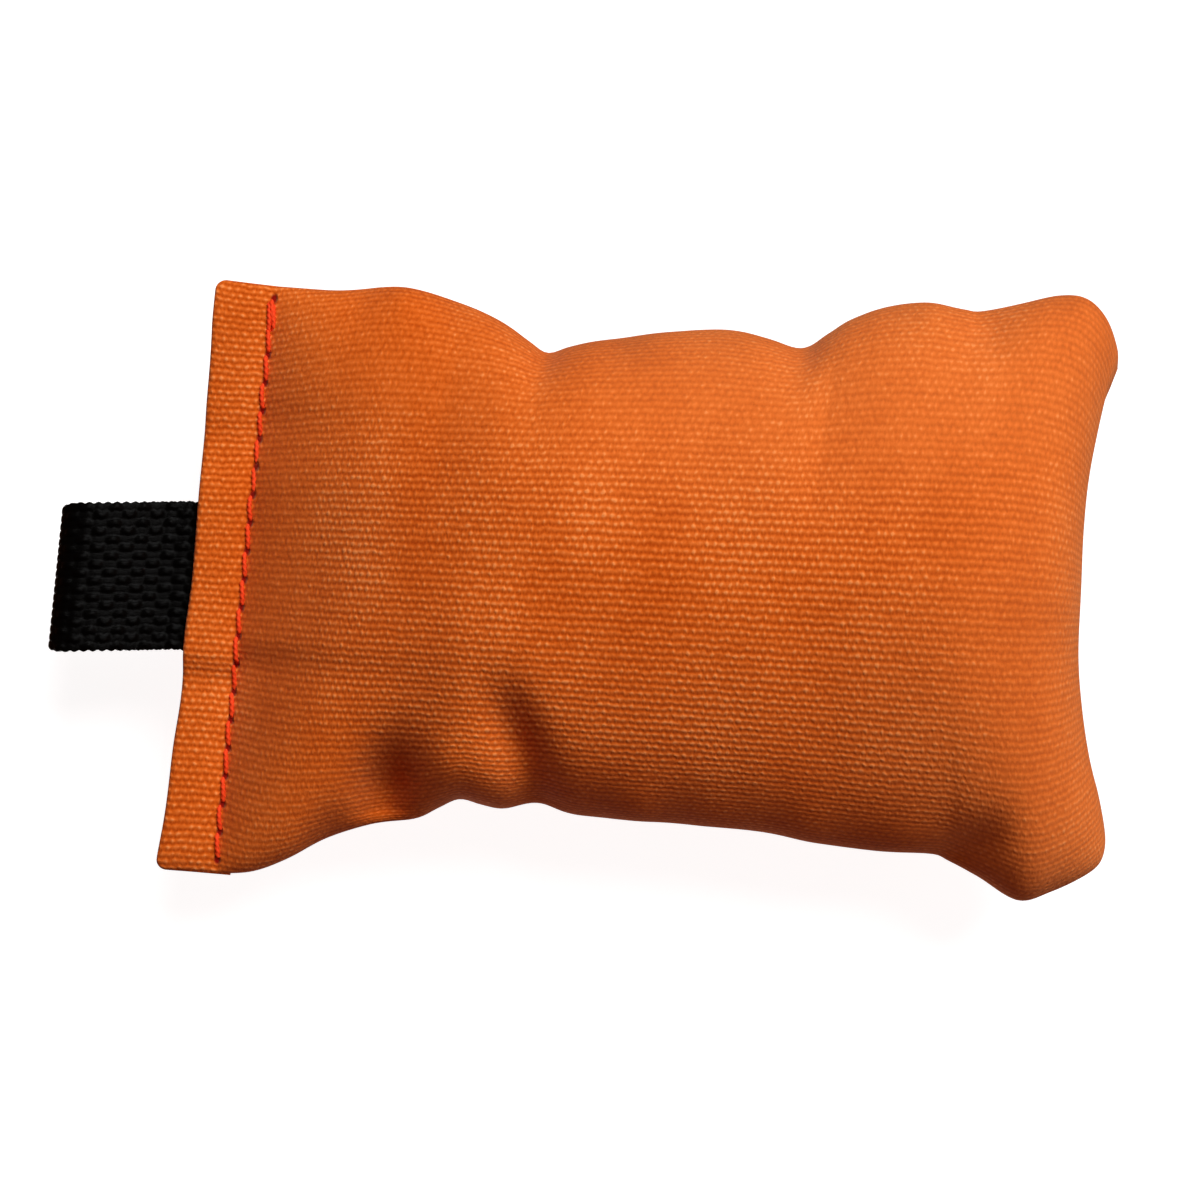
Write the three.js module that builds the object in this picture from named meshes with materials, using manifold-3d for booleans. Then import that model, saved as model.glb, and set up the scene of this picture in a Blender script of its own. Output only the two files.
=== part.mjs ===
// A small canvas training bumper for dogs: a stuffed bag with a webbing loop in its mouth.
// Millimetres, +Z up, lying flat. The bag's length runs along X, with the loop at -X.
// One canvas blank is folded in half at the +X end. Two side seams join its long edges, turned
// inside, and a lockstitched hem closes the mouth over both ends of the webbing strip.
import * as THREE from "three";
import { mergeVertices } from "three/addons/utils/BufferGeometryUtils.js";
import Module from "manifold-3d";

const wasm = await Module();
wasm.setup();

// ---- Driving dimensions ----
const CLOTH = 0.7; // canvas thickness
const WEB = 1.2; // webbing thickness
const WEB_WIDTH = 20;
const THREAD = 0.5; // sewing thread diameter
const PLY_GAP = 0.2; // air between neighbouring plies
const CLEARANCE = 0.3; // air between the canvas and what lies inside it

const BAG_WIDTH = 79; // across the flat hem
const SEAM_Z = 20; // height of the side seams and the hem's middle
const CROWN = 24; // top of the stuffed bag above the seams
const BELLY = 24; // its underside below them, before the floor flattens it
const MOUTH_SKEW = THREE.MathUtils.degToRad(2.8); // the hem leans this much off square
const FILL_RISE = 50; // length over which the bag swells from the hem to its full height
const FOLD_ROUND = 24; // length over which it rounds down to the folded end

const HEM = 8.3; // mouth edge to stitch line
const HEM_END = 10.6; // mouth edge to where the hem's plies stop, 0.9 short of the line it flexes on
const MOUTH_HALF = 3.3; // half the bag's height where it meets the hem
const STITCH = 3.8; // stitch length
const STITCHES = 20;
const SEAM_START = 39.2; // first needle hole, from the hem's middle
const STITCH_DIP = 0.45; // how far the thread sinks at a needle hole

const ALLOWANCE = 7; // turned-in seam allowance along each side
const SIDE_STITCH_INSET = 2.2; // side seam stitches, in from the bag's outline

const LOOP_ROOT = 1.6; // mouth edge to the loop's flex line
const LOOP_STRAIGHT = 13; // flex line to the middle of the loop's eye
const EYE_RADIUS = 2.7;
const LOOP_SKEW = 0.12; // sideways lean of the loop, per millimetre of its length
const LOOP_SHIFT = 0.1; // the webbing sits this far off the hem's middle

// Outline of the stuffed bag in plan, as its side seams run from the hem to the folded end.
const FAR_SIDE = [
  [14.1, 39.2], [27, 40.7], [38.6, 37.4], [46.6, 33], [57, 35.4], [68.6, 37], [80.6, 35.3],
  [88.6, 39.4], [97, 42.2], [104, 41.5], [116.4, 44.2], [124.1, 35.3],
];
const NEAR_SIDE = [
  [10.4, -38.8], [15, -37.4], [22.6, -33], [38.6, -27.8], [48.6, -27.8], [57, -29.2], [74.6, -29.7],
  [94.6, -31.6], [103, -32], [109, -34.6], [114.6, -37.2], [125.2, -31.8],
];
const FOLD_WAIST = 119.6; // the folded end curves in towards this length at its middle

// Mesh fineness.
const ALONG = 22;
const AROUND = 14;
const TUBE_SIDES = 6;

// ---- Materials ----
const canvas = new THREE.MeshStandardMaterial({ color: 0xd9641e, roughness: 0.95, metalness: 0 });
const webbing = new THREE.MeshStandardMaterial({ color: 0x0c0c0d, roughness: 0.7, metalness: 0 });
const topThread = new THREE.MeshStandardMaterial({ color: 0xe8331a, roughness: 0.5, metalness: 0 });
const sideThread = new THREE.MeshStandardMaterial({ color: 0xd9641e, roughness: 0.6, metalness: 0 });
const fibre = new THREE.MeshStandardMaterial({ color: 0xeeece6, roughness: 1, metalness: 0 });

// ---- Solids and booleans ----
function toSolid(geometry) {
  const bare = new THREE.BufferGeometry().setAttribute("position", geometry.getAttribute("position"));
  bare.setIndex(geometry.index);
  const merged = mergeVertices(bare, 1e-4);
  return new wasm.Manifold(new wasm.Mesh({
    numProp: 3,
    vertProperties: merged.attributes.position.array,
    triVerts: new Uint32Array(merged.index.array),
  }));
}

function toGeometry(solid) {
  const made = solid.getMesh();
  const geometry = new THREE.BufferGeometry();
  geometry.setAttribute("position", new THREE.BufferAttribute(made.vertProperties, 3));
  geometry.setIndex(new THREE.BufferAttribute(made.triVerts, 1));
  geometry.computeVertexNormals();
  return geometry;
}

function named(name, geometry, material) {
  const mesh = new THREE.Mesh(geometry, material);
  mesh.name = name;
  return mesh;
}

// Joins rings of equally many points into one skin. flat(point) gives the 2D contour of a cap.
// A last ring whose points meet in pairs closes without a cap.
function loft(rings, flat, capEnd = true) {
  const count = rings[0].length;
  const faces = [];
  rings.slice(1).forEach((_, i) => {
    for (let j = 0; j < count; j++) {
      const [a, b] = [i * count + j, i * count + ((j + 1) % count)];
      faces.push(a, b, b + count, a, b + count, a + count);
    }
  });
  const contour = rings[0].map(flat);
  const lastRing = (rings.length - 1) * count;
  THREE.ShapeUtils.triangulateShape(contour, []).forEach(([a, b, c]) => {
    faces.push(a, c, b);
    if (capEnd) faces.push(lastRing + a, lastRing + b, lastRing + c);
  });
  const geometry = new THREE.BufferGeometry().setFromPoints(rings.flat());
  geometry.setIndex(faces);
  return geometry;
}

function tube(points, radius, steps) {
  const section = new THREE.Shape(Array.from({ length: TUBE_SIDES }, (_, i) => {
    const angle = (2 * Math.PI * i) / TUBE_SIDES;
    return new THREE.Vector2(radius * Math.cos(angle), radius * Math.sin(angle));
  }));
  const path = new THREE.CatmullRomCurve3(points, false, "catmullrom", 0.5);
  return new THREE.ExtrudeGeometry(section, { steps, extrudePath: path });
}

// ---- The stuffed bag ----
const asCurve = (points) => new THREE.SplineCurve(points.map(([x, y]) => new THREE.Vector2(x, y)));
const farSide = asCurve(FAR_SIDE);
const nearSide = asCurve(NEAR_SIDE);
const foldEnd = new THREE.QuadraticBezierCurve(
  nearSide.getPoint(1),
  new THREE.Vector2(2 * FOLD_WAIST - farSide.getPoint(1).x, 0),
  farSide.getPoint(1),
);
const mouthEnd = new THREE.LineCurve(nearSide.getPoint(0), farSide.getPoint(0));

// Point of the bag's plan between its four edges: u runs from mouth to fold, v from near to far.
function plan(u, v) {
  const across = (v + 1) / 2;
  const sides = nearSide.getPoint(u).lerp(farSide.getPoint(u), across);
  const ends = mouthEnd.getPoint(across).lerp(foldEnd.getPoint(across), u);
  const corners = nearSide.getPoint(0).lerp(farSide.getPoint(0), across)
    .lerp(nearSide.getPoint(1).lerp(farSide.getPoint(1), across), u);
  return sides.add(ends).sub(corners);
}

// Closed pillow shape, drawn in by inset from the bag's outer surface. reach draws out its mouth.
function pillow({ inset, mouthHalf, reach }) {
  const length = foldEnd.getPoint(0.5).x - mouthEnd.getPoint(0.5).x;
  const swell = (u, full) => {
    const risen = 1 - (1 - Math.min((u * length) / FILL_RISE, 1)) ** 2.2;
    const folded = Math.sqrt(1 - (1 - Math.min(((1 - u) * length) / FOLD_ROUND, 1)) ** 2);
    return (mouthHalf + (full - inset - mouthHalf) * risen) * folded;
  };
  const rings = Array.from({ length: ALONG + 1 }, (_, i) => {
    const u = 1 - (1 - i / ALONG) ** 1.6;
    return Array.from({ length: 2 * AROUND }, (_, j) => {
      const angle = (Math.PI * j) / AROUND;
      const [v, w] = [Math.cos(angle), Math.sin(angle)];
      const at = plan(u, v);
      const height = w > 0 ? w * swell(u, CROWN) : w * swell(u, BELLY);
      const floor = inset - SEAM_Z;
      const [x, y] = [at.x - inset * u ** 4, at.y - inset * v];
      return new THREE.Vector3(x, y, SEAM_Z + Math.max(height, floor));
    });
  });
  rings.unshift(rings[0].map(({ x, y, z }) => new THREE.Vector3(x - reach, y, z)));
  return toSolid(loft(rings, (p) => new THREE.Vector2(p.y, p.z), false));
}

// A side's seam line and the direction that points into the bag, at even steps along it.
function seamStations(side, inward, steps, from, to) {
  return Array.from({ length: steps + 1 }, (_, i) => {
    const t = from + ((to - from) * i) / steps;
    const [at, tangent] = [side.getPoint(t), side.getTangent(t)];
    return { at, into: new THREE.Vector2(-tangent.y * inward, tangent.x * inward) };
  });
}

// Flat ribbon inside a side seam, from inset to inset + width and between two heights.
function seamRibbon({ curve, inward }, { inset, width, low, high, from, to }) {
  const rings = seamStations(curve, inward, 20, from, to).map(({ at, into }) => {
    const outer = at.clone().addScaledVector(into, inset);
    const inner = at.clone().addScaledVector(into, inset + width);
    const corners = [[outer, low], [inner, low], [inner, high], [outer, high]];
    const ordered = inward > 0 ? corners : corners.reverse();
    return ordered.map(([p, z]) => new THREE.Vector3(p.x, p.y, SEAM_Z + z));
  });
  return toSolid(loft(rings, (p) => new THREE.Vector2(p.y, p.z)));
}

const SIDES = [
  { name: "far", curve: farSide, inward: -1 },
  { name: "near", curve: nearSide, inward: 1 },
];
const FLAP_LOW = PLY_GAP / 2;
const FLAP_HIGH = FLAP_LOW + CLOTH;

function canvasCover() {
  let cover = pillow({ inset: 0, mouthHalf: MOUTH_HALF, reach: 0.01 })
    .subtract(pillow({ inset: CLOTH, mouthHalf: MOUTH_HALF - CLOTH, reach: 3 }));
  const slit = new THREE.BoxGeometry(110, 2 * BAG_WIDTH, PLY_GAP).translate(62, 0, SEAM_Z);
  cover = cover.subtract(toSolid(slit));
  for (const side of SIDES) {
    const flap = { inset: 0.6, width: ALLOWANCE, from: 0.04, to: 0.76 };
    cover = cover.add(seamRibbon(side, { ...flap, low: FLAP_LOW, high: FLAP_HIGH }));
    cover = cover.add(seamRibbon(side, { ...flap, low: -FLAP_HIGH, high: -FLAP_LOW }));
  }
  return named("canvas_cover", toGeometry(cover), canvas);
}

function fibreStuffing() {
  const inset = CLOTH + CLEARANCE;
  const mouth = new THREE.BoxGeometry(20, 2 * BAG_WIDTH, BAG_WIDTH).translate(6, 0, SEAM_Z);
  let stuffing = pillow({ inset, mouthHalf: MOUTH_HALF - inset, reach: 1 }).subtract(toSolid(mouth));
  const slot = FLAP_HIGH + PLY_GAP + THREAD + CLEARANCE;
  const room = { inset: -3, width: ALLOWANCE + 4.6 + CLEARANCE, low: -slot, high: slot };
  for (const side of SIDES) {
    stuffing = stuffing.subtract(seamRibbon(side, { ...room, from: 0, to: 0.84 }));
  }
  return named("fibre_stuffing", toGeometry(stuffing), fibre);
}

function sideSeamThread({ name, curve, inward }, thread, level) {
  const height = SEAM_Z + level * (FLAP_HIGH + PLY_GAP + THREAD / 2);
  const points = seamStations(curve, inward, 16, 0.06, 0.75).map(({ at, into }) => {
    const on = at.clone().addScaledVector(into, SIDE_STITCH_INSET);
    return new THREE.Vector3(on.x, on.y, height);
  });
  return named(`${name}_side_seam_${thread}_thread`, tube(points, THREAD / 2, 28), sideThread);
}

// ---- The hemmed mouth, in its own frame: X in from the mouth edge, Z up from its middle ----
const TAIL_TOP = PLY_GAP / 2 + WEB;
const LIP = 2 * CLOTH + PLY_GAP; // one lip of the hem: the canvas and its turned-in edge

// Underside of the upper lip: it rises over the webbing's ends and falls to the other lip beside.
function lipBase(y) {
  const beside = (Math.abs(y - LOOP_SHIFT) - WEB_WIDTH / 2 - 0.4) / 7;
  const lifted = 1 - THREE.MathUtils.smoothstep(beside, 0, 1);
  return PLY_GAP / 2 + (TAIL_TOP + PLY_GAP / 2) * lifted;
}

function hemLip(name) {
  const arc = (radius, from, steps) => Array.from({ length: steps + 1 }, (_, i) => {
    const angle = from + (Math.PI * i) / steps;
    return [LIP / 2 + radius * Math.cos(angle), LIP / 2 + radius * Math.sin(angle)];
  });
  const inner = arc(PLY_GAP / 2, Math.PI / 2, 2).reverse();
  const turnedEdge = HEM_END - 0.6;
  const section = [
    [HEM_END, LIP], ...arc(LIP / 2, Math.PI / 2, 6), [turnedEdge, 0], [turnedEdge, CLOTH],
    ...inner, [HEM_END, LIP - CLOTH],
  ];
  const stations = 24;
  const rings = Array.from({ length: stations + 1 }, (_, i) => {
    const y = (0.5 - i / stations) * BAG_WIDTH;
    return section.map(([x, z]) => new THREE.Vector3(x, y, lipBase(y) + z));
  });
  const lip = toSolid(loft(rings, (p) => new THREE.Vector2(p.x, p.z)));
  const groove = toSolid(closingThread(THREAD / 2 + 0.15));
  return named(name, toGeometry(lip.subtract(groove)), canvas);
}

// Lockstitch thread on the upper lip: it lies on the hem and dips into each needle hole.
function closingThread(radius) {
  const points = [];
  for (let i = 0; i <= STITCHES; i++) {
    const hole = SEAM_START - i * STITCH;
    const on = (y, rise) => new THREE.Vector3(HEM, y, lipBase(y) + LIP + rise);
    if (i > 0) points.push(on(hole + STITCH * 0.22, THREAD / 2));
    points.push(on(hole, -STITCH_DIP));
    if (i < STITCHES) points.push(on(hole - STITCH * 0.22, THREAD / 2));
  }
  return tube(points, radius, STITCHES * 5);
}

function webbingTail(name) {
  const depth = HEM_END - 0.8;
  const tail = new THREE.BoxGeometry(depth, WEB_WIDTH, WEB);
  tail.translate(depth / 2 + 0.2, LOOP_SHIFT, PLY_GAP / 2 + WEB / 2);
  return named(name, tail, webbing);
}

// One strip folded back on itself into an eye, in profile, then leaning a little to one side.
function webbingLoop() {
  const side = (half) => [half, EYE_RADIUS + half - PLY_GAP / 2];
  const [[innerRoot, innerEye], [outerRoot, outerEye]] = [side(PLY_GAP / 2), side(TAIL_TOP)];
  const profile = new THREE.Shape();
  const sweep = [-5, -8, -LOOP_STRAIGHT];
  profile.moveTo(0, outerRoot);
  profile.bezierCurveTo(sweep[0], outerRoot, sweep[1], outerEye, sweep[2], outerEye);
  profile.absarc(-LOOP_STRAIGHT, 0, outerEye, Math.PI / 2, 1.5 * Math.PI, false);
  profile.bezierCurveTo(sweep[1], -outerEye, sweep[0], -outerRoot, 0, -outerRoot);
  profile.lineTo(0, -innerRoot);
  profile.bezierCurveTo(sweep[0], -innerRoot, sweep[1], -innerEye, sweep[2], -innerEye);
  profile.absarc(-LOOP_STRAIGHT, 0, innerEye, 1.5 * Math.PI, Math.PI / 2, true);
  profile.bezierCurveTo(sweep[1], innerEye, sweep[0], innerRoot, 0, innerRoot);
  const strip = new THREE.ExtrudeGeometry(profile, {
    depth: WEB_WIDTH, steps: 1, curveSegments: 9, bevelEnabled: false,
  });
  strip.rotateX(Math.PI / 2).translate(0, WEB_WIDTH / 2 + LOOP_SHIFT, 0);
  strip.applyMatrix4(new THREE.Matrix4().makeShear(LOOP_SKEW, 0, 0, 0, 0, 0));
  const loop = named("webbing_loop", strip, webbing);
  loop.position.x = -LOOP_ROOT;
  return loop;
}

// ---- Assembly ----
const mouth = new THREE.Group();
mouth.position.z = SEAM_Z;
mouth.rotation.z = -MOUTH_SKEW;
const upperHem = new THREE.Group();
upperHem.add(
  hemLip("mouth_hem_upper"),
  webbingTail("webbing_tail_upper"),
  named("closing_seam_needle_thread", closingThread(THREAD / 2), topThread),
);
const lowerHem = new THREE.Group();
lowerHem.scale.z = -1;
lowerHem.add(
  hemLip("mouth_hem_lower"),
  webbingTail("webbing_tail_lower"),
  named("closing_seam_bobbin_thread", closingThread(THREAD / 2), topThread),
);
mouth.add(upperHem, lowerHem, webbingLoop());

const body = new THREE.Group();
body.add(canvasCover(), fibreStuffing());
for (const side of SIDES) {
  body.add(sideSeamThread(side, "needle", 1), sideSeamThread(side, "bobbin", -1));
}

// The origin is the middle of the box's underside.
const bumper = new THREE.Group();
bumper.add(mouth, body);
const box = new THREE.Box3().setFromObject(bumper, true);
const centre = box.getCenter(new THREE.Vector3());
bumper.position.set(-centre.x, -centre.y, -box.min.z);

const part = new THREE.Group();
part.add(bumper);
export default part;
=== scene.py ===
# A small canvas training bumper: a stuffed bag, its topstitched hem and its webbing loop.
# Lengths are in millimetres here and become metres when a mesh is made.
import math

import bmesh
import bpy
import numpy as np
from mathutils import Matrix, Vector, noise


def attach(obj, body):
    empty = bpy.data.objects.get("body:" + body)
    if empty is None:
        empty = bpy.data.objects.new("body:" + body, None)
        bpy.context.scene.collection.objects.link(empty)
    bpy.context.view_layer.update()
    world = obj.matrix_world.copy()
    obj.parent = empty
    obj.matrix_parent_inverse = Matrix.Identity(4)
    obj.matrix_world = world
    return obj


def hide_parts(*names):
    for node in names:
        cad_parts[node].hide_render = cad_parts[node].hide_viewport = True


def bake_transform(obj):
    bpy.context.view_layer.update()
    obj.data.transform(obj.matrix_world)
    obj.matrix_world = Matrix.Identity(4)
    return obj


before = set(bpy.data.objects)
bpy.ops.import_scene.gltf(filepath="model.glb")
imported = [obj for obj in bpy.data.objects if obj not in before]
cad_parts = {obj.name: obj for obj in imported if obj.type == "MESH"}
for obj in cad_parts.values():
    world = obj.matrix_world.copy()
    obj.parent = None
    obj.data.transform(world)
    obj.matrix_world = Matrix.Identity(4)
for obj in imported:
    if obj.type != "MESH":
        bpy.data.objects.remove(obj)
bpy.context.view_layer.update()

MM = 0.001
SEAM_Z = 20.0  # height of the side seams above the floor

# ---- The bag's outline, from the stitch line to the folded end, as its side seams run ----
FAR_SEAM = [
    (-44.0, 37.7), (-36.0, 37.6), (-29.4, 38.3), (-25.0, 38.1), (-19.4, 36.7), (-13.4, 34.3),
    (-9.4, 31.7), (-6.9, 30.3), (-4.0, 31.2), (0.6, 32.4), (8.6, 33.8), (16.6, 34.7),
    (22.6, 33.7), (27.4, 32.8), (30.6, 34.8), (33.6, 36.9), (38.6, 39.0), (43.6, 39.7),
    (48.6, 39.1), (51.1, 39.0), (56.6, 40.4), (61.6, 41.8), (65.2, 41.5), (68.0, 39.0),
    (69.8, 35.4), (70.1, 33.0),
]
NEAR_SEAM = [
    (-47.9, -42.0), (-43.0, -41.4), (-38.4, -39.5), (-33.4, -36.5), (-27.4, -34.1), (-21.4, -32.9),
    (-18.4, -31.3), (-15.6, -29.9), (-12.6, -30.5), (-9.6, -30.9), (-5.0, -29.9), (0.6, -31.3),
    (12.6, -31.7), (24.6, -32.2), (32.6, -33.4), (40.6, -34.0), (48.0, -34.0), (50.6, -34.9),
    (54.6, -36.8), (60.0, -39.7), (64.6, -38.4), (70.0, -35.6), (71.3, -34.2),
]
FOLD_END = [
    (71.3, -34.2), (71.7, -31.2), (70.4, -25.2), (68.5, -19.2), (67.0, -12.5), (66.1, -6.0), (65.9, 2.0),
    (65.8, 10.0), (66.3, 17.5), (68.0, 26.5), (69.2, 30.3), (70.1, 33.0),
]

# ---- The mouth, in its own frame: X in from the mouth edge, Y across ----
MOUTH_EDGE = (-53.1, -2.1)
MOUTH_SKEW = math.radians(2.8)
HEM_HALF = 39.4
HEM = 8.3  # mouth edge to the stitch line
HEM_THICK = 1.6  # one lip: the canvas and its turned-in edge
LIP_GAP = 0.35  # half the space between the two lips, beside the webbing
STITCH_PULL = 0.35  # how far the closing seam draws each lip in
TURNED_IN = 9.0
WEB = 1.2  # thickness of the webbing
WEB_WIDTH = 20.0
WEB_SHIFT = 0.05
WEB_LIFT = 1.05  # how far the webbing inside raises each lip

STITCH = 3.8
STITCHES = 20
SEAM_START = 38.4  # first needle hole, from the mouth's middle
THREAD = 0.70

CROWN = 24.0  # height of the upper panel above the side seams
BELLY = 21.2  # depth of the lower panel below them, before it rests on the floor
FLOOR_GAP = 0.1
BOXY = 9.0  # exponent of the nearly flat section at the stitches. An ellipse has 2
FILL_RISE = 46.0  # length over which the bag swells from the stitches to its full height
FAR_HALF = 34.0  # half width, on each side, at which a section is a plain ellipse
NEAR_HALF = 31.5
SEAM_GROOVE = 0.8  # how far the side seams draw in
FOLD_ROUND = 26.0  # length over which it rounds down to the folded end

ROWS = 89  # weft threads across the bag, from seam to seam
WARP_PITCH = 0.5
MIDDLE_Y = -1.0  # the weave's middle row lies straight along here
WEB_YARNS = 18
WEB_REPEAT = 3.75  # length of the webbing's weave repeat


# ---- Helpers ----
def mouth_to_row(x, y):
    """A plan point of the mouth's own frame, in the row frame."""
    cos, sin = math.cos(MOUTH_SKEW), math.sin(MOUTH_SKEW)
    return MOUTH_EDGE[0] + x * cos + y * sin, MOUTH_EDGE[1] - x * sin + y * cos


def row_to_mouth(x, y):
    """A plan point of the row frame, in the mouth's own frame."""
    cos, sin = math.cos(MOUTH_SKEW), math.sin(MOUTH_SKEW)
    dx, dy = x - MOUTH_EDGE[0], y - MOUTH_EDGE[1]
    return dx * cos - dy * sin, dx * sin + dy * cos


def smoothstep(low, high, value):
    t = np.clip((np.asarray(value, float) - low) / (high - low), 0.0, 1.0)
    return t * t * (3.0 - 2.0 * t)


def smooth_min(value, limit, softness):
    """value held under limit, turning over gently within softness of it."""
    t = np.clip(0.5 + 0.5 * (limit - value) / softness, 0.0, 1.0)
    return limit * (1.0 - t) + value * t - softness * t * (1.0 - t)


def through(points, samples):
    """Evenly spaced points on a smooth curve through the given ones."""
    p = np.array(points, float)
    p = np.vstack([2 * p[0] - p[1], p, 2 * p[-1] - p[-2]])
    t = np.linspace(0, 1, 9)[:-1, None]
    dense = []
    for a, b, c, d in zip(p, p[1:], p[2:], p[3:]):
        cubic = (2 * b) + (c - a) * t + (2 * a - 5 * b + 4 * c - d) * t**2 + (3 * b - a - 3 * c + d) * t**3
        dense.append(cubic / 2)
    dense = np.vstack([*dense, p[-2:-1]])
    return resampled(dense, np.linspace(0, 1, samples))


def resampled(line, fractions):
    """Points of a polyline at the given fractions of its length."""
    steps = np.linalg.norm(np.diff(line, axis=0), axis=1)
    run = np.concatenate([[0], np.cumsum(steps)]) / steps.sum()
    return np.stack([np.interp(fractions, run, line[:, k]) for k in range(line.shape[1])], axis=1)


def add_uvs(mesh, name, uvs):
    """A UV map from one pair of numbers per point."""
    layer = mesh.uv_layers.new(name=name)
    corners = np.empty(len(mesh.loops), np.int32)
    mesh.loops.foreach_get("vertex_index", corners)
    layer.data.foreach_set("uv", np.asarray(uvs, np.float32)[corners].ravel())


def make_mesh(name, points, faces, uvs, material):
    """A smooth-shaded mesh from points in millimetres. uvs is one pair per point."""
    mesh = bpy.data.meshes.new(name)
    mesh.from_pydata((np.asarray(points) * MM).tolist(), [], faces)
    add_uvs(mesh, "UVMap", uvs)
    mesh.shade_smooth()
    mesh.materials.append(material)
    obj = bpy.data.objects.new(name, mesh)
    bpy.context.scene.collection.objects.link(obj)
    return obj


def grid_faces(rows, columns, first=0, wrap=False, flip=False):
    """Quads of a rows by columns grid of points. wrap joins the last column to the first."""
    faces = []
    for i in range(rows - 1):
        for j in range(columns if wrap else columns - 1):
            k = (j + 1) % columns
            a, b = first + i * columns + j, first + i * columns + k
            quad = (a, b, b + columns, a + columns)
            faces.append(quad[::-1] if flip else quad)
    return faces


# ---- The canvas cover ----
ACROSS = 112  # grid steps from near seam to far seam
ALONG = 236  # from the stitch line to the folded end
HEM_STEPS = 26  # over the hem
LIP_STEPS = 10  # round the mouth edge
TURN_STEPS = 8  # along the turned-in edge

near_line = through(NEAR_SEAM, 400)
far_line = through(FAR_SEAM, 400)
fold_line = through(FOLD_END, 200)


def bag_plan(u, v):
    """Plan point between the four edges: u from stitch line to fold, v from near to far."""
    w = (v + 1) / 2
    near = resampled(near_line, u)
    far = resampled(far_line, u)
    stitches = np.outer(1 - w, near_line[0]) + np.outer(w, far_line[0])
    corners = np.outer(1 - w, near_line[-1]) + np.outer(w, far_line[-1])
    fold = resampled(fold_line, w)
    u, w = u[:, None, None], w[None, :, None]
    sides = near[:, None] * (1 - w) + far[:, None] * w
    ends = stitches[None] * (1 - u) + fold[None] * u
    straight = stitches[None] * (1 - u) + corners[None] * u
    return sides + ends - straight


def stitch_line(y):
    """X in from the mouth edge, in the mouth's frame, of the line where the hem meets the bag."""
    near = row_to_mouth(*near_line[0])
    far = row_to_mouth(*far_line[0])
    return np.interp(y, [near[1], far[1]], [near[0], far[0]])


def lips_apart(y):
    """Share of the hem's thickness left at y: its two lips close together at the side seams."""
    near = row_to_mouth(*near_line[0])[1]
    far = row_to_mouth(*far_line[0])[1]
    v = (2 * y - near - far) / (far - near)
    return np.sqrt(np.clip(1 - np.abs(v) ** BOXY, 0, 1))


def hem_top(y):
    """Height of the hem's upper face above its middle: it is lifted where the webbing lies inside."""
    y = np.asarray(y, float)
    beside = np.abs(y - WEB_SHIFT) - WEB_WIDTH / 2
    spread = np.where(y > 0, beside / 7.5, beside / 3.2)
    dips = 0.32 * np.exp(-(((y - 19.5) / 2.2) ** 2)) + 0.22 * np.exp(-(((y + 14.5) / 2.0) ** 2))
    return HEM_THICK + LIP_GAP + WEB_LIFT * (1 - smoothstep(0.02, 1, spread)) - dips


def crease(x, y, centre, angle, length, width):
    """1 at centre and falling away, longer along angle (degrees) than across it."""
    a = math.radians(angle)
    dx, dy = x - centre[0], y - centre[1]
    along = (dx * math.cos(a) + dy * math.sin(a)) / length
    across = (-dx * math.sin(a) + dy * math.cos(a)) / width
    return np.exp(-(along**2) - across**2)


# Puckers of the upper panel: centre, angle, length, width and depth. A negative depth is a ridge.
PUCKERS = [
    ((-25.3, -28.6), 80, 5.8, 3.9, 5.6),
    ((-8.2, -21.0), 112, 6.6, 3.2, 3.4),
    ((-4.0, -29.5), 130, 5.0, 3.6, 1.8),
    ((-15.0, -28.0), 105, 6.5, 3.8, -2.4),
    ((-7.2, 29.5), 85, 3.4, 2.2, 1.4),
    ((27.6, 31.8), 95, 3.0, 2.2, 0.9),
    ((51.0, 36.5), 100, 4.0, 2.6, 1.8),
    ((52.5, -32.5), 55, 4.6, 3.0, 2.4),
]


def squareness(v, y, risen):
    """Exponent of each cross section: 2 is an ellipse.

    It is higher, so the section is boxier, at the mouth and where the bag is narrow.
    """
    half = np.where(v > 0, y[:, -1:] / FAR_HALF, -y[:, :1] / NEAR_HALF)
    power = np.clip(2 + 2 * np.log(half) / math.log(0.7), 1.65, 3.2)
    return power + (BOXY - power) * (1 - risen) ** 3


def puckered(x, y, z, start):
    """Heights z with the puckers pressed in. They fade out at the stitches and at the side seams."""
    for centre, angle, reach, width, depth in PUCKERS:
        hollow = depth * crease(x, y, centre, angle, reach, width)
        z = z - hollow * smoothstep(0, 8, start) * np.minimum(1, z / 6)
    return z


def noise_field(x, y, z):
    """Smooth noise, from -1 to 1, at the places given by three grids."""
    places = np.stack(np.broadcast_arrays(x, y, z), axis=-1)
    return np.array([[noise.noise(Vector(place)) for place in row] for row in places])


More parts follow.
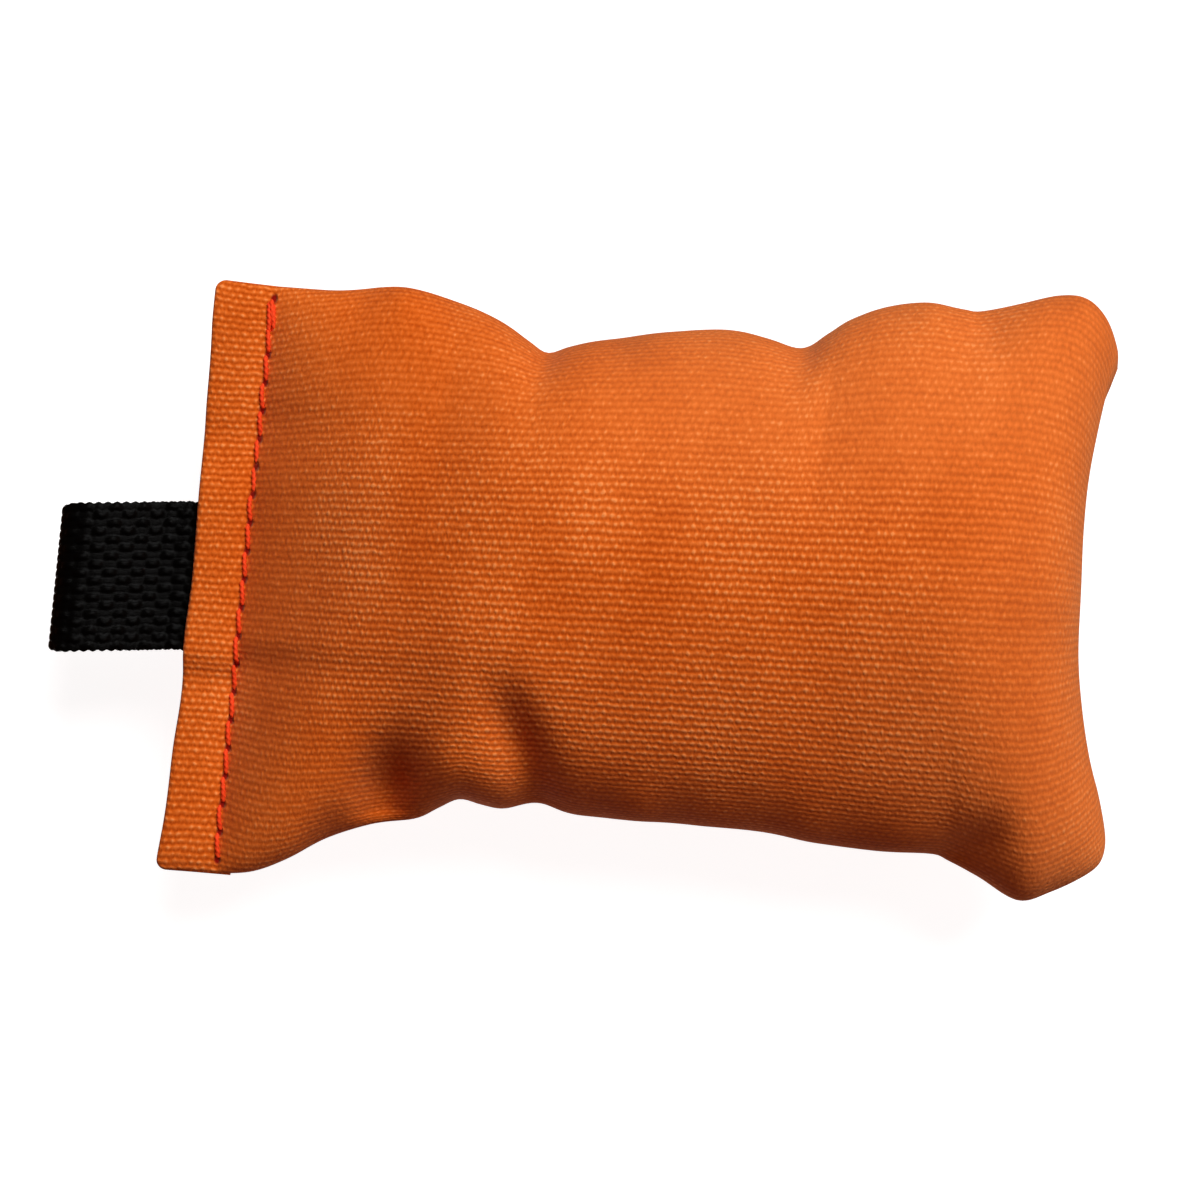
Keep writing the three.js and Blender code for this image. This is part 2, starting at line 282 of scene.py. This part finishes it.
def bag_surface(side, inset=0.0, along=ALONG, across=ACROSS, wrinkled=True):
    """Grid of points of the upper (side 1) or lower (side -1) panel past the stitch line.

    inset moves it inwards, for the stuffing. Without wrinkles it has no puckers, lumps or gathers.
    """
    # Grid rows crowd towards the stitches and, more, towards the fold.
    u = np.linspace(0, 1, along + 1) ** 1.15
    u = 1 - (1 - u) ** 1.5
    v = -np.cos(np.pi * np.linspace(0, 1, across + 1))
    plan = bag_plan(u, v)
    x, y = plan[..., 0], plan[..., 1]
    length = x[-1].mean() - x[0].mean()
    start, end = (u * length)[:, None], ((1 - u) * length)[:, None]
    # The bag starts to rise steeply at the stitches, most of all beside the far seam.
    swell = np.clip(start / (FILL_RISE * (1 + 0.17 * v[None])), 0, 1)
    risen = 1 - (1 - swell) ** (2.0 + 0.35 * np.maximum(v, 0) - 0.15 * np.minimum(v, 0))[None]
    folded = np.sqrt(1 - (1 - np.clip(end / FOLD_ROUND, 0, 1)) ** 2)
    full = (CROWN if side > 0 else BELLY) - inset
    rounded = np.sqrt(np.clip(1 - np.abs(v)[None] ** squareness(v[None], y, risen), 0, 1))
    pinched = hem_top(y) - STITCH_PULL
    lean = 1 + 0.09 * v[None] * smoothstep(10, 30, start) * smoothstep(10, 50, end)
    z = (pinched * (1 - risen) + full * risen * lean) * rounded * folded
    drawn_in = SEAM_GROOVE * (np.exp(-((z / 1.2) ** 2)) - 0.4) * smoothstep(3, 22, start)
    if side > 0 and wrinkled:
        z = puckered(x, y, z, start)
    if side < 0:
        z = smooth_min(z, SEAM_Z - FLOOR_GAP - inset, 3.0)
    lumps = noise_field(x * 0.04 + y * 0.02, y * 0.04, 3.7 * side)
    gathers = noise_field(x * 0.17, 0.35 * side + 0.02 * y, 9.1)
    near_seam = np.exp(-(((1 - np.abs(v)) / 0.12) ** 2))[None]
    free = smoothstep(2, 16, start) * smoothstep(0, 10, end)
    if wrinkled:
        z = z * (1 + 0.03 * lumps * free) + gathers * near_seam * free * np.minimum(z, 1.6)
        y = y - np.sign(v)[None] * drawn_in * smoothstep(0.5, 0.8, np.abs(v))[None]
    scale = 1 - inset / np.maximum(np.abs(y[:, -1:] - y[:, :1]) / 2, 1)
    middle = (y[:, -1:] + y[:, :1]) / 2
    x = x - inset * u[:, None] ** 6
    return np.stack([x, middle + (y - middle) * scale, SEAM_Z + side * z], axis=-1)


def hem_surface(side):
    """Grid of points from inside the turned-in edge, round the lip and over the hem."""
    t = np.linspace(0, 1, ACROSS + 1)
    v = -np.cos(np.pi * t)
    seam = bag_plan(np.array([0.0]), v)[0]
    seam_x, seam_y = row_to_mouth(seam[:, 0], seam[:, 1])
    apart = lips_apart(seam_y)
    top = hem_top(seam_y)
    base = top - HEM_THICK
    radius = HEM_THICK / 2
    wave = 0.45 * noise_field(seam_y[None] * 0.09, 2.2, side)[0]
    rows = []
    for i in range(TURN_STEPS):
        depth = TURNED_IN + (radius - TURNED_IN) * i / TURN_STEPS
        rows.append((np.full_like(top, depth), base))
    for i in range(LIP_STEPS):
        angle = -math.pi / 2 - math.pi * i / LIP_STEPS
        rows.append((radius + radius * math.cos(angle) + 0 * top, base + radius + radius * math.sin(angle)))
    for i in range(HEM_STEPS):
        f = i / HEM_STEPS
        x = radius + (seam_x - radius) * f
        pillow = 0.18 * np.sin(math.pi * f) - STITCH_PULL * f**6
        rows.append((x, top + pillow))
    grid = []
    for x, z in rows:
        reach = np.clip(x / HEM, 0, 1)
        y = seam_y + (1 - reach) * 0.15 * v
        edge = (wave - 1.0 * (seam_y / HEM_HALF) ** 2) * (1 - reach)
        rounding = np.clip(1 - np.minimum(seam_y - seam_y[0], seam_y[-1] - seam_y) / 1.5, 0, 1)
        corner = 1.5 * (1 - np.sqrt(1 - rounding**2)) * np.clip(1 - x / 4, 0, 1)
        px, py = mouth_to_row(x + edge + corner, y)
        grid.append(np.stack([px, py, SEAM_Z + side * z * apart], axis=-1))
    return np.array(grid)


def thread_counts(grid):
    """UVs in threads: U counts warps along the middle, V counts weft rows from seam to seam.

    The rows run straight and evenly spaced down the middle, and bunch only towards the seams.
    """
    along = np.linalg.norm(np.diff(grid[:, grid.shape[1] // 2], axis=0), axis=1)
    warps = np.concatenate([[0], np.cumsum(along)]) / WARP_PITCH
    steps = np.linalg.norm(np.diff(grid, axis=1), axis=2)
    run = np.concatenate([np.zeros((len(grid), 1)), np.cumsum(steps, axis=1)], axis=1)
    kernel = np.hanning(81)
    girth = np.convolve(np.pad(run[:, -1], 40, mode="edge"), kernel / kernel.sum(), mode="valid")
    middle = np.array([np.interp(MIDDLE_Y, y, r) for y, r in zip(grid[..., 1], run)])
    offset = run - middle[:, None]
    rows = ROWS / 2 + offset / girth[:, None] * ROWS
    far = offset > 0
    reach = np.abs(offset) / np.where(far, offset[:, -1:], -offset[:, :1])
    missing = np.where(far, ROWS - rows[:, -1:], -rows[:, :1])
    rows = rows + missing * reach**3
    return np.stack([np.repeat(warps[:, None], grid.shape[1], axis=1), rows], axis=-1)


def build_cover(material):
    """The whole canvas sheet, from one turned-in edge round the fold to the other.

    The map "UVMap" counts threads on the smooth bag, so that puckers don't crowd them. The map "Mouth"
    gives the distance past the stitch line and the place across the bag.
    """

    def both_panels(wrinkled):
        upper = np.concatenate([hem_surface(1), bag_surface(1, wrinkled=wrinkled)])
        lower = np.concatenate([hem_surface(-1), bag_surface(-1, wrinkled=wrinkled)])
        return np.concatenate([upper, lower[-2::-1]])

    whole = both_panels(True)
    counts = thread_counts(both_panels(False))
    rows, columns = whole.shape[:2]
    faces = grid_faces(rows, columns, flip=True)
    cover = make_mesh("canvas_bag", whole.reshape(-1, 3), faces, counts.reshape(-1, 2), material)
    x, y = row_to_mouth(whole[..., 0].ravel(), whole[..., 1].ravel())
    add_uvs(cover.data, "Mouth", np.stack([x - stitch_line(y), y], axis=1))
    weld(cover, 0.02)
    return cover


def weld(obj, distance):
    """Joins the points of a mesh that lie closer than distance, and turns its faces outwards."""
    work = bmesh.new()
    work.from_mesh(obj.data)
    bmesh.ops.remove_doubles(work, verts=work.verts, dist=distance * MM)
    bmesh.ops.recalc_face_normals(work, faces=work.faces)
    work.to_mesh(obj.data)
    work.free()


# ---- Materials ----
class Nodes:
    """Short way to build a material's node tree."""

    def __init__(self, name):
        self.material = bpy.data.materials.new(name)
        self.material.use_nodes = True
        self.tree = self.material.node_tree
        self.shader = self.tree.nodes["Principled BSDF"]

    def add(self, kind, **settings):
        node = self.tree.nodes.new(kind)
        for key, value in settings.items():
            setattr(node, key, value)
        return node

    def link(self, source, target):
        self.tree.links.new(source, target)

    def feed(self, socket, value):
        if isinstance(value, bpy.types.NodeSocket):
            self.link(value, socket)
        else:
            socket.default_value = value

    def shade(self, **values):
        """Sets the shader's inputs. An underscore in a name stands for a space."""
        for name, value in values.items():
            self.feed(self.shader.inputs[name.replace("_", " ")], value)

    def uv(self, name):
        return self.add("ShaderNodeUVMap", uv_map=name).outputs["UV"]

    def split(self, vector):
        """The X and Y of a vector, as two sockets."""
        parts = self.add("ShaderNodeSeparateXYZ")
        self.link(vector, parts.inputs[0])
        return parts.outputs["X"], parts.outputs["Y"]

    def stretch(self, vector, scale):
        node = self.add("ShaderNodeMapping")
        self.link(vector, node.inputs["Vector"])
        node.inputs["Scale"].default_value = scale
        return node.outputs[0]

    def math(self, operation, a, b=0.0, c=0.0):
        node = self.add("ShaderNodeMath", operation=operation)
        for socket, value in zip(node.inputs, (a, b, c)):
            self.feed(socket, value)
        return node.outputs[0]

    def span(self, value, low, high):
        """0 up to low, 1 from high on, smooth between them."""
        node = self.add("ShaderNodeMapRange", interpolation_type="SMOOTHSTEP")
        self.feed(node.inputs["Value"], value)
        node.inputs["From Min"].default_value = low
        node.inputs["From Max"].default_value = high
        return node.outputs["Result"]

    def noise(self, vector, scale, detail=2.0, roughness=0.5):
        node = self.add("ShaderNodeTexNoise")
        self.feed(node.inputs["Vector"], vector)
        node.inputs["Scale"].default_value = scale
        node.inputs["Detail"].default_value = detail
        node.inputs["Roughness"].default_value = roughness
        return node.outputs["Fac"]

    def ramp(self, value, stops):
        node = self.add("ShaderNodeValToRGB")
        self.feed(node.inputs["Fac"], value)
        elements = node.color_ramp.elements
        while len(elements) < len(stops):
            elements.new(0.5)
        for element, (position, color) in zip(elements, stops):
            element.position = position
            element.color = (*color, 1.0)
        return node.outputs["Color"]

    def mix(self, fac, a, b):
        node = self.add("ShaderNodeMix", data_type="RGBA")
        self.feed(node.inputs["Factor"], fac)
        self.feed(node.inputs["A"], a)
        self.feed(node.inputs["B"], b)
        return node.outputs["Result"]

    def bump(self, height, distance, strength):
        node = self.add("ShaderNodeBump")
        self.feed(node.inputs["Height"], height)
        node.inputs["Distance"].default_value = distance
        node.inputs["Strength"].default_value = strength
        return node.outputs["Normal"]


def from_stitches(n):
    """Sockets with the distance past the stitch line and the place across the bag, in millimetres."""
    return n.split(n.uv("Mouth"))


def needle_holes(n):
    """1 in each needle hole of the closing seam, 0 elsewhere. It masks the holes' painted shade and their
    sinking bump.
    """
    past, side = from_stitches(n)
    steps = n.math("MULTIPLY_ADD", side, 1 / STITCH, 0.5 - SEAM_START / STITCH)
    beside = n.math("MULTIPLY", n.math("SUBTRACT", n.math("FRACT", steps), 0.5), STITCH / 0.72)
    across = n.math("DIVIDE", past, 0.46)
    distance = n.math("ADD", n.math("POWER", beside, 2.0), n.math("POWER", across, 2.0))
    spot = n.math("SUBTRACT", 1.3, distance)
    inside = n.add("ShaderNodeClamp")
    n.link(spot, inside.inputs["Value"])
    after_start = n.math("LESS_THAN", side, SEAM_START + 1.0)
    before_end = n.math("GREATER_THAN", side, SEAM_START - STITCHES * STITCH - 1.0)
    return n.math("MULTIPLY", inside.outputs[0], n.math("MULTIPLY", after_start, before_end))


def nap(n):
    """How far the canvas's nap hides its weave: 1 along the stitches, side seams and fold, 0 on the hem."""
    past, side = from_stitches(n)
    seams = n.span(n.math("ABSOLUTE", side), 14.0, 29.0)
    fold = n.span(past, 75.0, 115.0)
    mouth = n.math("SUBTRACT", 1.0, n.span(past, 3.0, 18.0))
    rubbed = n.math("MAXIMUM", n.math("MAXIMUM", seams, fold), mouth)
    return n.math("MULTIPLY", rubbed, n.span(past, 0.0, 1.0))


def painted_light_far_and_fold(n):
    """Painted light: how far the canvas is painted lighter and paler where the lamps fall most, towards the
    far side seam and the folded end.
    """
    past, side = from_stitches(n)
    far_seam = n.math("MULTIPLY", n.span(side, 4.0, 36.0), n.span(past, 20.0, 60.0))
    return n.math("MAXIMUM", far_seam, n.span(past, 70.0, 120.0))


def canvas_material():
    """Plain-weave duck: thick weft rows along U, bumps where each row passes over a warp. Its colour holds
    painted shade in the weave's gaps, painted highlight on the yarn tops, painted shade in the needle holes
    and painted light towards the far side seam and the folded end.
    """
    n = Nodes("canvas")
    uv = n.uv("UVMap")
    wander = n.add("ShaderNodeTexNoise", noise_dimensions="2D")
    n.link(uv, wander.inputs["Vector"])
    wander.inputs["Scale"].default_value = 0.35
    wander.inputs["Detail"].default_value = 2.0
    centred = n.add("ShaderNodeVectorMath", operation="SUBTRACT")
    n.link(wander.outputs["Color"], centred.inputs[0])
    centred.inputs[1].default_value = (0.5, 0.5, 0.5)
    moved = n.add("ShaderNodeVectorMath", operation="MULTIPLY_ADD")
    n.link(centred.outputs[0], moved.inputs[0])
    moved.inputs[1].default_value = (0.9, 0.5, 0.0)
    n.link(uv, moved.inputs[2])
    warp, row = n.split(moved.outputs[0])

    wave_u = n.math("COSINE", n.math("MULTIPLY", warp, math.pi))
    wave_v = n.math("COSINE", n.math("MULTIPLY", row, math.pi))
    knuckle = n.math("MULTIPLY_ADD", n.math("MULTIPLY", wave_u, wave_v), 0.5, 0.5)
    ridge = n.math("POWER", wave_v, 2.0)
    gap_u = n.math("POWER", n.math("SINE", n.math("MULTIPLY", warp, math.pi)), 2.0)
    gaps = n.math("MULTIPLY", gap_u, n.math("SUBTRACT", 1.0, ridge))
    cells = n.math("ADD", n.math("MULTIPLY", knuckle, 0.42), n.math("MULTIPLY", ridge, 0.46))
    weave = n.math("MULTIPLY_ADD", gaps, -0.14, n.math("ADD", cells, 0.12))

    slub = n.noise(n.stretch(uv, (0.07, 1.0, 1.0)), 1.1, 2.0)
    uneven = n.noise(uv, 0.8, 1.0)
    fibre = n.noise(uv, 3.4, 3.0, 0.75)
    patches = n.noise(uv, 0.03, 3.0, 0.55)
    worn = n.math("MULTIPLY_ADD", patches, 1.1, 0.45)
    strength = n.math("MULTIPLY", n.math("MULTIPLY_ADD", uneven, 1.3, 0.3), worn)
    contrast = n.math("MULTIPLY", strength, n.math("MULTIPLY_ADD", nap(n), -0.45, 1.0))
    level = n.math("MULTIPLY", strength, 0.52)
    height = n.math("MULTIPLY_ADD", n.math("SUBTRACT", weave, 0.52), contrast, level)
    height = n.math("MULTIPLY_ADD", n.math("SUBTRACT", fibre, 0.5), 0.48, height)
    height = n.math("MULTIPLY_ADD", n.math("SUBTRACT", slub, 0.5), 0.3, height)
    # Painted shade and highlight: the ramp paints the gaps between the yarns darker and the yarn tops
    # lighter, standing in for their shading. It also carries the canvas's own uneven tone from patches,
    # slubs and fibres.
    gap_shade_and_tone = n.math("MULTIPLY_ADD", n.math("SUBTRACT", patches, 0.5), 0.25, height)
    color = n.ramp(gap_shade_and_tone, [
        (0.12, (0.480, 0.062, 0.0012)),
        (0.42, (0.680, 0.118, 0.0085)),
        (0.74, (0.820, 0.176, 0.0240)),
        (1.00, (0.940, 0.290, 0.0750)),
    ])
    # Painted light: the canvas is mixed towards a lighter, paler orange where the lamps fall most, on the
    # far side and the folded end.
    color = n.mix(n.math("MULTIPLY", painted_light_far_and_fold(n), 0.26), color, (0.83, 0.25, 0.062, 1.0))
    hole = needle_holes(n)
    # Painted shade: each needle hole is painted dark red, standing in for the shade inside the hole. The
    # bump below also sinks it.
    color = n.mix(hole, color, (0.26, 0.004, 0.002, 1.0))
    sunk = n.math("MULTIPLY_ADD", hole, -2.0, height)
    n.shade(Base_Color=color, Normal=n.bump(sunk, 0.00026, 0.6), Roughness=0.95, Specular_IOR_Level=0.06)
    n.shade(Sheen_Weight=0.2, Sheen_Roughness=0.5, Sheen_Tint=(1.0, 0.64, 0.34, 1.0))
    return n.material


def webbing_material():
    """Black yarns with fine filaments along them."""
    n = Nodes("webbing")
    filaments = n.noise(n.stretch(n.uv("UVMap"), (1.0, 9.0, 1.0)), 2.2, 3.0, 0.6)
    color = n.ramp(filaments, [(0.25, (0.0003, 0.0003, 0.0003)), (0.8, (0.0012, 0.0012, 0.0011))])
    normal = n.bump(filaments, 0.00008, 0.6)
    n.shade(Base_Color=color, Normal=normal, Roughness=0.38, Specular_IOR_Level=0.05)
    return n.material


def thread_material(name, bright, hole_shade):
    """Twisted thread. V is 0 in a needle hole and 1 on the surface. Its colour is painted darker towards V
    0, as painted shade where the thread sinks into the hole.
    """
    n = Nodes(name)
    uv = n.uv("UVMap")
    lift = n.split(uv)[1]
    grain = n.noise(uv, 14.0, 2.0)
    depth = n.math("MULTIPLY_ADD", n.math("SUBTRACT", grain, 0.5), 0.25, lift)
    # Painted shade: the thread is painted darker where it dives into the needle holes.
    color = n.ramp(depth, [(0.12, hole_shade), (0.62, bright)])
    normal = n.bump(grain, 0.00005, 0.6)
    n.shade(Base_Color=color, Normal=normal, Roughness=0.6, Specular_IOR_Level=0.1)
    return n.material


def fibre_material():
    """White polyester fibre."""
    n = Nodes("stuffing")
    place = n.add("ShaderNodeTexCoord").outputs["Object"]
    tangle = n.noise(place, 900.0, 6.0, 0.7)
    color = n.ramp(tangle, [(0.3, (0.55, 0.54, 0.51)), (0.7, (0.9, 0.89, 0.87))])
    n.shade(Base_Color=color, Normal=n.bump(tangle, 0.0008, 0.8), Roughness=1.0)
    return n.material


# ---- The webbing ----
LOOP_ROOT = 1.6  # the strip leaves the hem straight for this far
EYE_AT = -13.0  # from there to the middle of the loop's round end
EYE_RADIUS = 3.3  # to the middle of the strip
LOOP_LEAN = 0.12  # sideways lean of the loop, per millimetre out from the hem


def webbing_path():
    """Middle line of the strip in the mouth's frame, X and Z, from the upper end to the lower one."""
    half = 0.1 + WEB / 2
    t = np.linspace(0, 1, 24)[:, None]
    start = np.array([-LOOP_ROOT, half])
    pull_a = np.array([-LOOP_ROOT - 5.0, half])
    pull_b = np.array([-LOOP_ROOT - 8.0, EYE_RADIUS])
    eye = np.array([-LOOP_ROOT + EYE_AT, EYE_RADIUS])
    sweep = start * (1 - t) ** 3 + 3 * pull_a * t * (1 - t) ** 2 + 3 * pull_b * t**2 * (1 - t) + eye * t**3
    angles = np.linspace(math.pi / 2, math.pi, 12)[1:]
    arc = np.stack([-LOOP_ROOT + EYE_AT + EYE_RADIUS * np.cos(angles), EYE_RADIUS * np.sin(angles)], axis=1)
    upper = np.vstack([[9.4, half], sweep, arc])
    lower = upper[-2::-1] * [1, -1]
    return np.vstack([upper, lower])


def build_webbing(material):
    """The folded strip, each yarn a rounded rib that rises and dips along the weave."""
    line = webbing_path()
    length = np.linalg.norm(np.diff(line, axis=0), axis=1).sum()
    steps = int(length / 0.24)
    line = resampled(line, np.linspace(0, 1, steps))
    tangent = np.gradient(line, axis=0)
    tangent /= np.linalg.norm(tangent, axis=1)[:, None]
    outward = np.stack([-tangent[:, 1], tangent[:, 0]], axis=1) * -1
    run = np.linspace(0, length, steps)
    per_yarn = 5
    count = WEB_YARNS * per_yarn + 1
    yarn_at = np.linspace(0, WEB_YARNS, count)
    index = np.minimum(np.floor(yarn_at + 1e-6), WEB_YARNS - 1)
    crossing = np.abs(2 * (yarn_at - index) - 1)
    crown = np.sqrt(np.clip(1 - crossing**2.4, 0, 1))
    edge_fade = smoothstep(0.0, 0.7, np.minimum(yarn_at, WEB_YARNS - yarn_at))
    sheets = []
    for side in (1, -1):
        shift = 0.0 if side > 0 else 0.5
        floats = np.cos(2 * math.pi * (run[:, None] / WEB_REPEAT + index[None] / 2 + shift))
        raised = np.clip(floats, 0, 1) ** 0.75
        bar = 0.07 * np.clip(-floats, 0, 1)
        tip = np.exp(-(((run - length / 2) / 2.6) ** 2))[:, None]
        relief = crown[None] * (0.02 + bar + 0.46 * raised) * (0.35 + 0.65 * edge_fade)
        relief = relief * (1 - tip) + tip * (0.26 + 0.12 * crown[None])
        offset = (WEB / 2 - 0.3 + relief) * side
        y = (yarn_at / WEB_YARNS - 0.5)[None] * (WEB_WIDTH + 0.25 * np.cos(run * 5.2)[:, None] * (1 - tip))
        y = y * (1 - 0.05 * tip**2)
        x = line[:, 0:1] + outward[:, 0:1] * offset
        z = line[:, 1:2] + outward[:, 1:2] * offset
        lean = LOOP_LEAN * np.minimum(x + LOOP_ROOT, 0)
        px, py = mouth_to_row(x, y + WEB_SHIFT + lean)
        sheets.append(np.stack([px, py, SEAM_Z + z], axis=-1))
    skin = np.concatenate([sheets[0], sheets[1][:, ::-1]], axis=1)
    columns = skin.shape[1]
    along = np.repeat(run[:, None] / WEB_REPEAT, columns, axis=1)
    across = np.concatenate([yarn_at, yarn_at[::-1]])
    uvs = np.stack([along, np.repeat(across[None], steps, axis=0)], axis=-1)
    faces = grid_faces(steps, columns, wrap=True)
    for first in (0, (steps - 1) * columns):
        after = first + columns
        faces += [(first + j, first + j + 1, after - 2 - j, after - 1 - j) for j in range(columns // 2 - 1)]
    strip = make_mesh("webbing_strip", skin.reshape(-1, 3), faces, uvs.reshape(-1, 2), material)
    weld(strip, 0.001)
    return strip


# ---- Threads ----
def twisted_tube(name, lines, depths, radius, pitch, material):
    """Two-ply thread along each line of points. depths is one number per point, for the UVs."""
    points, faces, uvs = [], [], []
    sides = 10
    for line, depth in zip(lines, depths):
        steps = np.linalg.norm(np.diff(line, axis=0), axis=1)
        run = np.concatenate([[0], np.cumsum(steps)])
        count = max(8, int(run[-1] / 0.16))
        at = np.linspace(0, 1, count)
        core = resampled(line, at)
        deep = np.interp(at, run / run[-1], depth)
        tangent = np.gradient(core, axis=0)
        tangent /= np.linalg.norm(tangent, axis=1)[:, None]
        side = np.cross(tangent, [0.0, 0.0, 1.0])
        side /= np.linalg.norm(side, axis=1)[:, None]
        up = np.cross(side, tangent)
        first = len(points)
        for i in range(count):
            twist = 2 * math.pi * run[-1] * at[i] / pitch
            for j in range(sides):
                angle = 2 * math.pi * j / sides
                r = radius * (0.8 + 0.2 * math.cos(2 * (angle - twist)))
                points.append(core[i] + r * (math.cos(angle) * side[i] + math.sin(angle) * up[i]))
                uvs.append((run[-1] * at[i], deep[i]))
        faces += grid_faces(count, sides, first=first, wrap=True)
        faces.append(tuple(first + j for j in range(sides)))
        faces.append(tuple(first + (count - 1) * sides + j for j in reversed(range(sides))))
    return make_mesh(name, points, faces, uvs, material)


def closing_stitches(side, seed):
    """Lines of the closing seam's stitches on one face, each from hole to hole.

    The last two runs are the backtack, which lies doubled beside the first stitches.
    """
    jitter = np.random.default_rng(seed)
    holes = [SEAM_START - i * STITCH for i in range(STITCHES + 1)]
    runs = [(a, b, 0.0) for a, b in zip(holes, holes[1:])]
    runs.append((SEAM_START - 0.6, SEAM_START - STITCH - 0.9, 0.34))
    runs.append((SEAM_START - 0.2, SEAM_START - 5.0, -0.3))
    lines, depths = [], []
    for start, end, shift in runs:
        lean = jitter.uniform(-0.12, 0.12)
        f = np.linspace(0, 1, 15)
        y = start + (end - start) * (0.06 + 0.88 * f)
        lift = np.sin(math.pi * f) ** 0.36
        x = stitch_line(y) - 0.15 + shift + 0.22 * (f - 0.5) * 2 + lean * np.sin(math.pi * f)
        z = (hem_top(y) - STITCH_PULL) * lips_apart(y) - 0.45 + (0.52 + THREAD * 0.5) * lift
        px, py = mouth_to_row(x, y)
        lines.append(np.stack([px, py, SEAM_Z + side * z], axis=-1))
        depths.append(lift)
    return lines, depths


def side_seam(line, toward, height):
    """The hidden side seam's thread, just inside the bag's edge."""
    inner = resampled(line, np.linspace(0.05, 0.85, 60))
    inner[:, 1] += toward * 2.6
    return np.column_stack([inner, np.full(len(inner), SEAM_Z + height)])


# ---- Assembly ----
canvas = canvas_material()
webbing = webbing_material()
# The second colour of each thread is painted shade, for where the thread sinks into the needle holes.
closing_thread = thread_material("closing_thread", (0.88, 0.062, 0.012), (0.30, 0.003, 0.001))
side_thread = thread_material("side_thread", (0.62, 0.12, 0.02), (0.2, 0.03, 0.005))
fibre = fibre_material()


cover = build_cover(canvas)
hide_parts("canvas_cover", "mouth_hem_upper", "mouth_hem_lower")
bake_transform(cover)

strip = build_webbing(webbing)
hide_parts("webbing_loop", "webbing_tail_upper", "webbing_tail_lower")
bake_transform(strip)

for side, label, seed in ((1, "needle", 4), (-1, "bobbin", 9)):
    lines, depths = closing_stitches(side, seed)
    thread = twisted_tube(f"closing_seam_{label}", lines, depths, THREAD / 2, 1.5, closing_thread)
    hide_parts(f"closing_seam_{label}_thread")
    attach(thread, "hem")
    for name, line, toward in (("far", far_line, -1), ("near", near_line, 1)):
        path = side_seam(line, toward, side * 0.5)
        depth = np.ones(len(path))
        hidden = twisted_tube(f"{name}_side_seam_{label}", [path], [depth], 0.22, 1.5, side_thread)
        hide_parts(f"{name}_side_seam_{label}_thread")
        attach(hidden, "bag")

upper = bag_surface(1, inset=1.6, along=70, across=40)[4:]
lower = bag_surface(-1, inset=1.6, along=70, across=40)[4:]
fill_grid = np.concatenate([upper, lower[-2::-1]])
fill_faces = grid_faces(*fill_grid.shape[:2], flip=True)
fill_points = fill_grid.reshape(-1, 3)
stuffing = make_mesh("stuffing", fill_points, fill_faces, np.zeros((len(fill_points), 2)), fibre)
weld(stuffing, 0.02)
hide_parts("fibre_stuffing")
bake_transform(stuffing)

# ---- Floor, light and camera ----
paper = Nodes("floor_paper")
paper.shade(Base_Color=(0.4, 0.4, 0.4, 1.0), Roughness=1.0, Specular_IOR_Level=0.0)
paper.shade(Emission_Color=(1.0, 1.0, 1.0, 1.0), Emission_Strength=0.92)


def paper_sheet(name, corners, faces):
    """A stretch of pale studio paper. It shows to the camera and casts no light or shade on the object."""
    mesh = bpy.data.meshes.new(name)
    mesh.from_pydata(corners, [], faces)
    mesh.materials.append(paper.material)
    sheet = bpy.data.objects.new(name, mesh)
    sheet.visible_diffuse = False
    sheet.visible_glossy = False
    sheet.visible_shadow = False
    bpy.context.scene.collection.objects.link(sheet)


REACH = 3.0  # metres from the object to the paper's edge
WALL = 1.5  # metres up the backdrop
ground = [(-REACH, -REACH, 0), (REACH, -REACH, 0), (REACH, REACH, 0), (-REACH, REACH, 0)]
rim = [(x, y, WALL) for x, y, _ in ground]
walls = [(k, (k + 1) % 4, (k + 1) % 4 + 4, k + 4) for k in range(4)]
paper_sheet("floor", ground, [(0, 1, 2, 3)])
paper_sheet("backdrop", ground + rim, walls)

world = bpy.data.worlds.new("studio")
world.use_nodes = True
background = world.node_tree.nodes["Background"]
background.inputs["Color"].default_value = (1.0, 0.30, 0.14, 1.0)
background.inputs["Strength"].default_value = 0.09
bpy.context.scene.world = world


def sun(name, direction, strength, spread):
    """Light from a direction, given as a vector from the object towards the lamp."""
    lamp = bpy.data.lights.new(name, "SUN")
    lamp.energy = strength
    lamp.angle = math.radians(spread)
    obj = bpy.data.objects.new(name, lamp)
    obj.rotation_mode = "QUATERNION"
    obj.rotation_quaternion = Vector(direction).to_track_quat("Z", "Y")
    bpy.context.scene.collection.objects.link(obj)


sun("key", (0.30, 0.57, 0.77), 3.2, 34)
sun("side", (0.85, 0.1, 0.5), 0.42, 50)
sun("bounce", (-0.28, -0.48, -0.83), 1.0, 40)

CAMERA_HEIGHT = 0.400  # metres above the side seams
VIEW_WIDTH = 0.1597  # metres across the picture, at the height of the side seams
camera_data = bpy.data.cameras.new("camera")
camera_data.sensor_width = 36.0
camera_data.lens = camera_data.sensor_width * CAMERA_HEIGHT / VIEW_WIDTH
camera_data.clip_start = 0.01
camera_data.clip_end = 10.0
camera = bpy.data.objects.new("camera", camera_data)
camera.location = (0.0006, -0.0012, SEAM_Z * MM + CAMERA_HEIGHT)
camera.rotation_euler = (0.0, 0.0, math.radians(3.0))
bpy.context.scene.collection.objects.link(camera)
bpy.context.scene.camera = camera
bpy.context.scene.view_settings.view_transform = "Standard"
